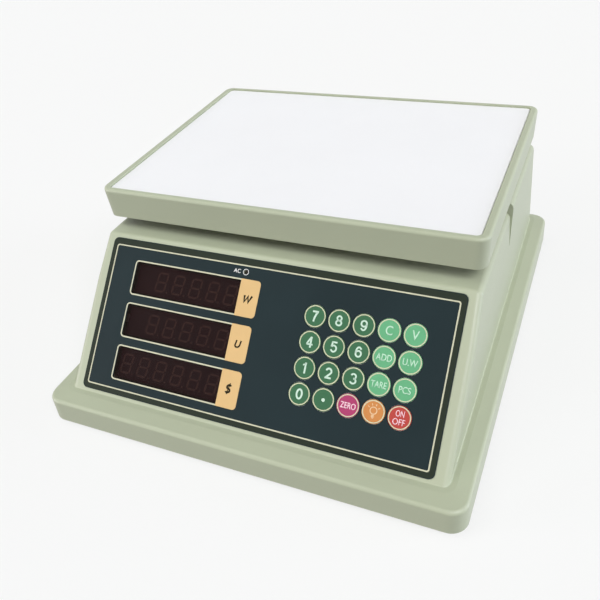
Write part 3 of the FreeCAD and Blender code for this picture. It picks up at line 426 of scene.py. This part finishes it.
# ---- lettering -------------------------------------------------------------------------------
# Figures one unit tall, as lines: (half width, closed, points).
BOLD, BROAD, HEAVY, MEDIUM, SLIM, FINE = 0.15, 0.105, 0.085, 0.075, 0.06, 0.055
BOWL = (MEDIUM, True, oval(0, -0.155, 0.25, 0.26))
HOOK = (MEDIUM, False, arc(0, 0, 0.25, 0.42, 38, 195))
UPPER_S, LOWER_S = arc(0, 0.19, 0.215, 0.2, 25, 270), arc(0, -0.21, 0.225, 0.2, 78, -155)
FIGURES = {
    "0": ((HEAVY, True, oval(0, 0, 0.245, 0.415, 28)),),
    "1": ((HEAVY, False, [(0.06, -0.5), (0.06, 0.5)]),
          (SLIM, False, [(-0.19, 0.245), (-0.04, 0.31), (0.05, 0.44)])),
    "2": ((HEAVY, False, arc(0, 0.165, 0.245, 0.25, 168, -30) + [(-0.2, -0.4)]),
          (HEAVY, False, [(-0.3, -0.412), (0.3, -0.412)])),
    "3": ((MEDIUM, False, arc(-0.01, 0.205, 0.225, 0.215, 160, -88)),
          (MEDIUM, False, arc(0, -0.195, 0.255, 0.225, 88, -160))),
    "4": ((HEAVY, False, [(0.1, -0.5), (0.1, 0.5)]),
          (MEDIUM, False, [(0.06, 0.42), (-0.26, -0.18)]),
          (MEDIUM, False, [(-0.31, -0.2), (0.31, -0.2)])),
    "5": ((MEDIUM, False, [(-0.2, 0.422), (0.26, 0.422)]),
          (MEDIUM, False, [(-0.16, 0.48), (-0.22, 0.0)]),
          (MEDIUM, False, arc(0, -0.145, 0.25, 0.275, 145, -158))),
    "6": (BOWL, HOOK),
    "7": ((HEAVY, False, [(-0.28, 0.412), (0.29, 0.412)]),
          (HEAVY, False, [(0.21, 0.4), (0.09, 0.18), (-0.02, -0.12), (-0.07, -0.5)])),
    "8": ((MEDIUM, True, oval(0, 0.215, 0.205, 0.2)),
          (MEDIUM, True, oval(0, -0.2, 0.25, 0.222))),
    "9": tuple((half, closed, [(-x, -y) for x, y in line]) for half, closed, line in (BOWL, HOOK)),
    "$": ((BROAD, False, UPPER_S + LOWER_S), (FINE, False, [(0, -0.6), (0, 0.6)])),
    "W": ((BOLD, False, [(-0.56, 0.5), (-0.3, -0.42), (0, 0.38), (0.3, -0.42), (0.56, 0.5)]),),
    "U": ((BROAD, False, [(-0.32, 0.5)] + arc(0, -0.14, 0.32, 0.27, 180, 360) + [(0.32, 0.5)]),),
}
TEXT_STEPS = 6            # points along each curve of the built-in font


def add_figure(bm, figure, cx, cy, height, z0, slant=0.0):
    for half, closed, line in FIGURES[figure]:
        points = [(cx + (x + slant * y) * height, cy + y * height) for x, y in line]
        add_stroke(bm, points, half * height, z0, z0 + PRINT_T, closed)


def flat_text(text, bold):
    """Generic lettering in the built-in font, as a flat mesh."""
    curve = bpy.data.curves.new("lettering", "FONT")
    curve.body = text
    curve.size = 1.0
    curve.offset = bold
    curve.resolution_u = TEXT_STEPS
    holder = bpy.data.objects.new("lettering", curve)
    bpy.context.scene.collection.objects.link(holder)
    bpy.context.view_layer.update()
    flat = bpy.data.meshes.new_from_object(holder)
    bpy.data.objects.remove(holder)
    bpy.data.curves.remove(curve)
    return flat


def add_text(bm, text, cx, cy, height, z0, bold, width=1.0):
    """Lettering centred on (cx, cy), with capitals of that height."""
    flat = flat_text(text, bold)
    xs = [v.co.x for v in flat.vertices]
    ys = [v.co.y for v in flat.vertices]
    scale = height / (max(ys) - min(ys))
    middle = Vector(((min(xs) + max(xs)) / 2, (min(ys) + max(ys)) / 2, 0))
    fit = Matrix.Diagonal((scale * width, scale, scale, 1)) @ Matrix.Translation(-middle)
    flat.transform(Matrix.Translation((cx, cy, z0)) @ fit)
    part = bmesh.new()
    part.from_mesh(flat)
    bmesh.ops.remove_doubles(part, verts=part.verts, dist=SAME_SPOT)
    top = bmesh.ops.extrude_face_region(part, geom=part.faces[:])
    raised = [g for g in top["geom"] if isinstance(g, bmesh.types.BMVert)]
    bmesh.ops.translate(part, verts=raised, vec=(0, 0, PRINT_T))
    bmesh.ops.recalc_face_normals(part, faces=part.faces)
    part.to_mesh(flat)
    part.free()
    bm.from_mesh(flat)
    bpy.data.meshes.remove(flat)


# ---- printed graphics on the front panel -----------------------------------------------------
CREAM = (0.545, 0.545, 0.385)
BORDER_W, BORDER_LOW, BORDER_HIGH = 228.0 * MM, 3.9 * MM, 96.9 * MM
BORDER_LINE = 0.8 * MM
BORDER_R_OUT, BORDER_R_IN = 1.6 * MM, 1.0 * MM
WINDOW_X0, WINDOW_X1, WINDOW_H = -97.2 * MM, -5.4 * MM, 23.0 * MM
WINDOW_R_OUT, WINDOW_R_IN = 2.6 * MM, 1.7 * MM
WINDOW_LINES_W, WINDOW_LINES_H = 1.7 * MM, 1.8 * MM       # the frame's lines, both sides together
GLASS_X1, GLASS_H = -19.0 * MM, 21.3 * MM
WINDOWS = (               # name, height up the panel, letter, digits
    ("w", 77.2 * MM, "W", 5),
    ("u", 49.1 * MM, "U", 5),
    ("price", 21.0 * MM, "$", 6),
)
DIGIT_W, DIGIT_H, MODULE_H = 12.7 * MM, 14.2 * MM, 18.6 * MM
LABEL_REACH, LABEL_R = 0.1 * MM, 2.5 * MM
LETTER_X, LETTER_SLANT = -0.3 * MM, 0.2
LETTER_H = {"W": 4.5 * MM, "U": 4.7 * MM, "$": 5.8 * MM}
LETTER_Y = {"W": -0.5 * MM, "U": -0.3 * MM, "$": 0.3 * MM}
LAMP_RING_OUT, LAMP_RING_IN = 1.94 * MM, 1.61 * MM
LAMP_TEXT_X, LAMP_TEXT_H, LAMP_TEXT_BOLD = -6.0 * MM, 2.6 * MM, 0.015


def from_edge(s):
    """Height on the front overlay, measured up from its lower edge, in its own axes."""
    return s - OVERLAY_H / 2


def add_border(bm, w, h, cy, z0, z1):
    """A rounded line round the edge of a panel."""
    outer = rounded_loop(w + BORDER_LINE, h + BORDER_LINE, BORDER_R_OUT, 0, cy)
    inner = rounded_loop(w - BORDER_LINE, h - BORDER_LINE, BORDER_R_IN, 0, cy)
    add_band(bm, outer, inner, z0, z1)


def front_border(cream, z0, z1):
    """The cream border, and a greener margin outside it."""
    middle = from_edge((BORDER_LOW + BORDER_HIGH) / 2)
    tall = BORDER_HIGH - BORDER_LOW
    bm = bmesh.new()
    add_border(bm, BORDER_W, tall, middle, z0, z1)
    link("panel_border", bm, cream, "case", FRONT)
    bm = bmesh.new()
    outer = rounded_loop(OVERLAY_W - BORDER_LINE, OVERLAY_H - BORDER_LINE, OVERLAY_R)
    inner = rounded_loop(BORDER_W + BORDER_LINE, tall + BORDER_LINE, BORDER_R_OUT, 0, middle)
    add_band(bm, outer, inner, z0, z1 - PRINT_SUNK)
    margin = ink("margin_ink", (0.021, 0.029, 0.019), sheen=0.12)
    link("panel_margin", bm, margin, "case", FRONT)


def window_frame(bm, y, z0, z1):
    centre, wide = (WINDOW_X0 + WINDOW_X1) / 2, WINDOW_X1 - WINDOW_X0
    outer = rounded_loop(wide, WINDOW_H, WINDOW_R_OUT, centre, y)
    inner = rounded_loop(wide - WINDOW_LINES_W, WINDOW_H - WINDOW_LINES_H, WINDOW_R_IN, centre, y)
    add_band(bm, outer, inner, z0, z1)


def front_graphics():
    cream = ink("cream_ink", CREAM)
    peach = ink("peach_ink", (0.652, 0.442, 0.190))
    dark = ink("dark_ink", (0.022, 0.018, 0.008), sheen=0.1)
    white = ink("white_ink", (0.80, 0.80, 0.76))
    z0, z1 = OVERLAY_TOP, OVERLAY_TOP + PRINT_T
    front_border(cream, z0, z1)
    left, right = GLASS_X1, WINDOW_X1 + LABEL_REACH
    for name, s, letter, _ in WINDOWS:
        y = from_edge(s)
        bm = bmesh.new()
        window_frame(bm, y, z0, z1)
        link("window_frame_" + name, bm, cream, "case", FRONT)
        bm = bmesh.new()
        label = rounded_loop(right - left, WINDOW_H + LABEL_REACH, LABEL_R, (left + right) / 2, y,
                             corners=(1, 1, 0, 0))
        add_prism(bm, label, z0, z1 + PRINT_STEP)
        link("window_label_" + name, bm, peach, "case", FRONT)
        bm = bmesh.new()
        add_figure(bm, letter, (left + right) / 2 + LETTER_X, y + LETTER_Y[letter],
                   LETTER_H[letter], z1 + PRINT_STEP, LETTER_SLANT)
        link("window_letter_" + name, bm, dark, "case", FRONT)
    low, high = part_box("power_lamp")
    lamp = FRONT.inverted() @ ((low + high) / 2)
    bm = bmesh.new()
    add_band(bm, circle(LAMP_RING_OUT, lamp.x, lamp.y), circle(LAMP_RING_IN, lamp.x, lamp.y),
             z0, z1)
    add_text(bm, "AC", lamp.x + LAMP_TEXT_X, lamp.y, LAMP_TEXT_H, z0, LAMP_TEXT_BOLD)
    link("lamp_mark", bm, white, "case", FRONT)


# ---- printed graphics on the keys ------------------------------------------------------------
KEY_RING_OUT, KEY_RING_IN = 6.47 * MM, 5.86 * MM
FIGURE_H = 6.5 * MM
POINT_R, POINT_Y = 1.05 * MM, -0.2 * MM
SIGN_Y = 0.4 * MM
KEY_LEGENDS = {           # lines of text, each with its rise and height in mm, width and boldness
    "clear": (("C", 0, 5.4, 0.86, 0.010),),
    "v": (("V", 0, 5.4, 0.86, 0.010),),
    "add": (("ADD", 0, 3.9, 0.78, 0.010),),
    "unit_weight": (("U.W", 0, 3.9, 0.80, 0.010),),
    "tare": (("TARE", 0, 3.7, 0.74, 0.010),),
    "pieces": (("PCS", 0, 3.9, 0.80, 0.010),),
    "zero": (("ZERO", 0, 3.6, 0.74, 0.018),),
    "on_off": (("ON", 2.3, 3.6, 0.66, 0.008), ("OFF", -2.3, 3.6, 0.82, 0.008)),
}
BULB_OUT, BULB_IN, BULB_Y = 2.2 * MM, 1.75 * MM, 0.2 * MM
CAP_LINES = ((2.5, 0.95), (3.2, 0.95), (3.9, 0.6))        # drop and half width, in mm
CAP_LINE_H, CAP_LINE_R = 0.42 * MM, 0.18 * MM
RAY_TURNS = (-60, -20, 20, 60)                            # degrees from upright
RAY_START, RAY_L, RAY_HALF = 2.9 * MM, 1.2 * MM, 0.2 * MM


def keys():
    return [n[len("key_"):] for n in sorted(nodes) if n.startswith("key_")]


def lamp_sign(bm, cx, cy, z0, z1):
    """A bulb with a cap and rays, as outlines."""
    bulb_y = cy + BULB_Y
    outer, inner = (circle(radius, cx, bulb_y, sides=32) for radius in (BULB_OUT, BULB_IN))
    add_band(bm, outer, inner, z0, z1)
    for drop, half in CAP_LINES:
        line = rounded_loop(2 * half * MM, CAP_LINE_H, CAP_LINE_R, cx, cy - drop * MM, steps=3)
        add_prism(bm, line, z0, z1)
    for turn in RAY_TURNS:
        angle = math.radians(90 - turn)
        along = Vector((math.cos(angle), math.sin(angle)))
        across = Vector((-along.y, along.x)) * RAY_HALF
        start = Vector((cx, bulb_y)) + along * RAY_START
        end = start + along * RAY_L
        ray = (start - across, end - across, end + across, start + across)
        add_prism(bm, [tuple(p) for p in ray], z0, z1)


def key_legend(bm, name, x, y, z0, z1):
    if name.isdigit():
        add_figure(bm, name, x, y, FIGURE_H, z0)
    elif name == "point":
        add_prism(bm, circle(POINT_R, x, y + POINT_Y, sides=24), z0, z1)
    elif name == "light":
        lamp_sign(bm, x, y + SIGN_Y, z0, z1)
    else:
        for text, rise, height, width, bold in KEY_LEGENDS[name]:
            add_text(bm, text, x, y + rise * MM, height * MM, z0, bold, width)


def key_graphics():
    cream = ink("key_ring_ink", (0.56, 0.56, 0.37))
    white = ink("key_white_ink", (0.53, 0.70, 0.565))
    soft = ink("key_soft_ink", (0.50, 0.75, 0.55))
    amber = ink("key_amber_ink", (0.74, 0.57, 0.35))
    rose = ink("key_rose_ink", (0.87, 0.60, 0.65))
    colours = {"key_number": white, "key_function": soft, "key_light": amber, "key_zero": rose,
               "key_power": rose}
    to_panel = FRONT.inverted()
    for name in keys():
        node = "key_" + name
        low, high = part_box(node)
        spot = to_panel @ ((low + high) / 2)
        top = max((to_panel @ v.co).z for v in nodes[node].data.vertices)
        z0, z1 = top, top + PRINT_T
        bm = bmesh.new()
        add_band(bm, circle(KEY_RING_OUT, spot.x, spot.y), circle(KEY_RING_IN, spot.x, spot.y),
                 z0 - PRINT_SUNK, z1)
        link("ring_" + name, bm, cream, node, FRONT)
        bm = bmesh.new()
        key_legend(bm, name, spot.x, spot.y, z0, z1)
        link("legend_" + name, bm, colours[slot_of(node)], node, FRONT)


# ---- printed graphics on the customer's side -------------------------------------------------
REAR_MARGIN = 5.0 * MM    # outside the border, both sides together
REAR_WINDOW_GAP, REAR_WINDOW_MARGIN = 8.0 * MM, 2.0 * MM
REAR_WINDOW_S = -4.0 * MM
REAR_R_OUT, REAR_R_IN = 2.2 * MM, 1.3 * MM
REAR_LINES = 1.8 * MM     # the frame's lines, both sides together
REAR_LETTER_S = 14.6 * MM


def rear_windows():
    """Each rear window as (name, centre, width, digits), from left to right as seen from behind."""
    widths = [c * DIGIT_W + REAR_WINDOW_MARGIN for _, _, _, c in WINDOWS]
    left = -(sum(widths) + REAR_WINDOW_GAP * (len(widths) - 1)) / 2
    found = []
    for (name, _, _, count), width in zip(WINDOWS, widths):
        found.append((name, left + width / 2, width, count))
        left += width + REAR_WINDOW_GAP
    return found


def rear_graphics():
    cream = ink("rear_cream_ink", CREAM)
    z0, z1 = OVERLAY_TOP, OVERLAY_TOP + PRINT_T
    bm = bmesh.new()
    add_border(bm, REAR_OVERLAY_W - REAR_MARGIN, REAR_OVERLAY_H - REAR_MARGIN, 0, z0, z1)
    link("rear_border", bm, cream, "case", REAR)
    letters = {name: letter for name, _, letter, _ in WINDOWS}
    for name, cx, width, _ in rear_windows():
        letter = letters[name]
        bm = bmesh.new()
        inner = rounded_loop(width, GLASS_H, REAR_R_IN, cx, REAR_WINDOW_S)
        outer = rounded_loop(width + REAR_LINES, GLASS_H + REAR_LINES, REAR_R_OUT, cx,
                             REAR_WINDOW_S)
        add_band(bm, outer, inner, z0, z1)
        add_figure(bm, letter, cx, REAR_LETTER_S, LETTER_H[letter], z0, LETTER_SLANT)
        link("rear_frame_" + name, bm, cream, "case", REAR)


# ---- digits ----------------------------------------------------------------------------------
DIGIT_LEAN = 7            # degrees
DIGIT_PLACE = 0.47        # a digit's centre, as a share of its module's width
SEGMENTS_W, SEGMENTS_H = 6.8 * MM, DIGIT_H - 2.3 * MM     # between the outer segments' middles
SEGMENT_GAP, SEGMENT_HALF = 0.22 * MM, 0.66 * MM
POINT_GAP, LED_POINT_R = 1.7 * MM, 0.6 * MM
LED_FACE = -2.8 * MM      # the modules' faces, from the plane through the overlay's middle
FACE_T = 0.04 * MM
TILE_GAP, TILE_R = 0.5 * MM, 0.3 * MM
BLANK_DEEP = 0.3 * MM
BLANK_PLACE = ("w", "u")  # windows with a blank cover where a sixth digit would go


def segment_outline(x0, y0, x1, y1):
    """A bar with pointed ends from one point to another."""
    start, end = Vector((x0, y0)), Vector((x1, y1))
    along = (end - start).normalized()
    across = Vector((-along.y, along.x)) * SEGMENT_HALF
    a, b = start + along * SEGMENT_HALF, end - along * SEGMENT_HALF
    corners = (start, a - across, b - across, end, b + across, a + across)
    return [tuple(p) for p in corners]


def add_digit(bm, cx, cy, z0, z1):
    """Seven slanted segments and a decimal point."""
    right, top = SEGMENTS_W / 2, SEGMENTS_H / 2
    lean = math.tan(math.radians(DIGIT_LEAN))
    ends = []
    for y in (-top, 0, top):
        ends.append((-right + SEGMENT_GAP, y, right - SEGMENT_GAP, y))
    for x in (-right, right):
        ends.append((x, -top + SEGMENT_GAP, x, -SEGMENT_GAP))
        ends.append((x, SEGMENT_GAP, x, top - SEGMENT_GAP))
    for line in ends:
        outline = [(cx + x + y * lean, cy + y) for x, y in segment_outline(*line)]
        add_prism(bm, outline, z0, z1)
    point = circle(LED_POINT_R, cx + right + POINT_GAP, cy - top, sides=16)
    add_prism(bm, point, z0, z1)


def digits(windows, body, place):
    """Unlit segments on the face of each seven-segment module, and a lighter face round them."""
    unlit = plastic("unlit_segment", (0.26, 0.13, 0.10), 0.4, mottle=0.05)
    face = plastic("module_face", (0.068, 0.027, 0.025), 0.5, mottle=0.08)
    for name, left, y, count in windows:
        bars, faces = bmesh.new(), bmesh.new()
        if name in BLANK_PLACE:
            blank = rounded_loop(DIGIT_W, MODULE_H, TILE_R, left - DIGIT_W / 2, y, steps=3)
            add_prism(faces, blank, LED_FACE - BLANK_DEEP, LED_FACE + FACE_T)
        for i in range(count):
            digit_x, tile_x = left + (i + DIGIT_PLACE) * DIGIT_W, left + (i + 0.5) * DIGIT_W
            add_digit(bars, digit_x, y, LED_FACE + FACE_T, LED_FACE + 2 * FACE_T)
            tile = rounded_loop(DIGIT_W - TILE_GAP, MODULE_H, TILE_R, tile_x, y, steps=3)
            add_prism(faces, tile, LED_FACE, LED_FACE + FACE_T)
        link("segments_" + name, bars, unlit, body, place)
        link("module_faces_" + name, faces, face, body, place)


def all_digits():
    front = [(n, GLASS_X1 - c * DIGIT_W, from_edge(s), c) for n, s, _, c in WINDOWS]
    digits(front, "case", FRONT)
    rear = [(n, cx - c * DIGIT_W / 2, REAR_WINDOW_S, c) for n, cx, _, c in rear_windows()]
    digits([("rear_" + n, left, y, c) for n, left, y, c in rear], "case", REAR)


# ---- mains inlet -----------------------------------------------------------------------------
PIN_PITCH, PIN_R, PIN_L = 8.6 * MM, 1.26 * MM, 10.4 * MM
INLET_AT = Vector((-127.5, 96.0, 46.0)) * MM
CAVITY_DEEP = 13.0 * MM
OUTWARDS = Matrix(((0, 0, -1), (0, 1, 0), (1, 0, 0))).to_4x4()


def inlet_pins():
    """Brass sleeves on the two pins in the mains inlet."""
    brass = metal("brass", (0.80, 0.62, 0.30), 0.25)
    bm = bmesh.new()
    for side in (-1, 1):
        add_prism(bm, circle(PIN_R, 0, side * PIN_PITCH / 2, sides=24), 0, PIN_L)
    place = Matrix.Translation(INLET_AT + Vector((CAVITY_DEEP, 0, 0))) @ OUTWARDS
    link("inlet_pins", bm, brass, "case", place)


def main():
    add_camera()
    add_stage()
    dress_cad()
    front_graphics()
    key_graphics()
    rear_graphics()
    all_digits()
    inlet_pins()


main()
